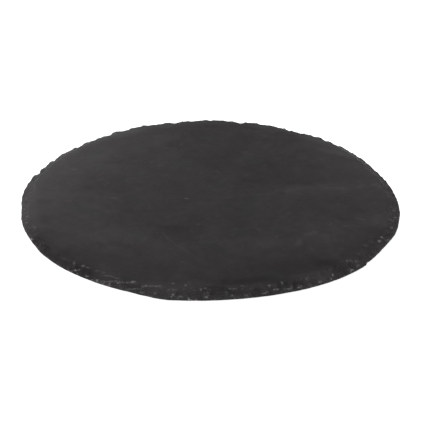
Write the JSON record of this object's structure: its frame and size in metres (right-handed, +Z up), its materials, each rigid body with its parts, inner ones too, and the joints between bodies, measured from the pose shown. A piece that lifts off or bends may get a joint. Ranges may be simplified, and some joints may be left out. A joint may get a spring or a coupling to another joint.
{
  "type": "slate serving board",
  "caption": "Thin round slab of natural slate with a chipped, bevelled edge, for serving and presenting food, standing clear of the table on small foam feet.",
  "frame": {"origin": "on the surface that the board stands on, under the middle of the board", "axes": "+Z up through the thickness of the slab, +X to the right and -Y to the front, towards the camera of the picture"},
  "size_m": [0.3004, 0.3012, 0.0073],
  "materials": {
    "slate": "matte riven charcoal slate",
    "foam": "matte closed-cell foam",
    "adhesive": "clear acrylic film, slightly yellow"
  },
  "bodies": {
    "root": {"slate_slab": "slate", "foot_front_left": "foam", "foot_front_right": "foam", "foot_back_right": "foam", "foot_back_left": "foam", "adhesive_front_left": "adhesive", "adhesive_front_right": "adhesive", "adhesive_back_right": "adhesive", "adhesive_back_left": "adhesive"}
  },
  "joints": []
}
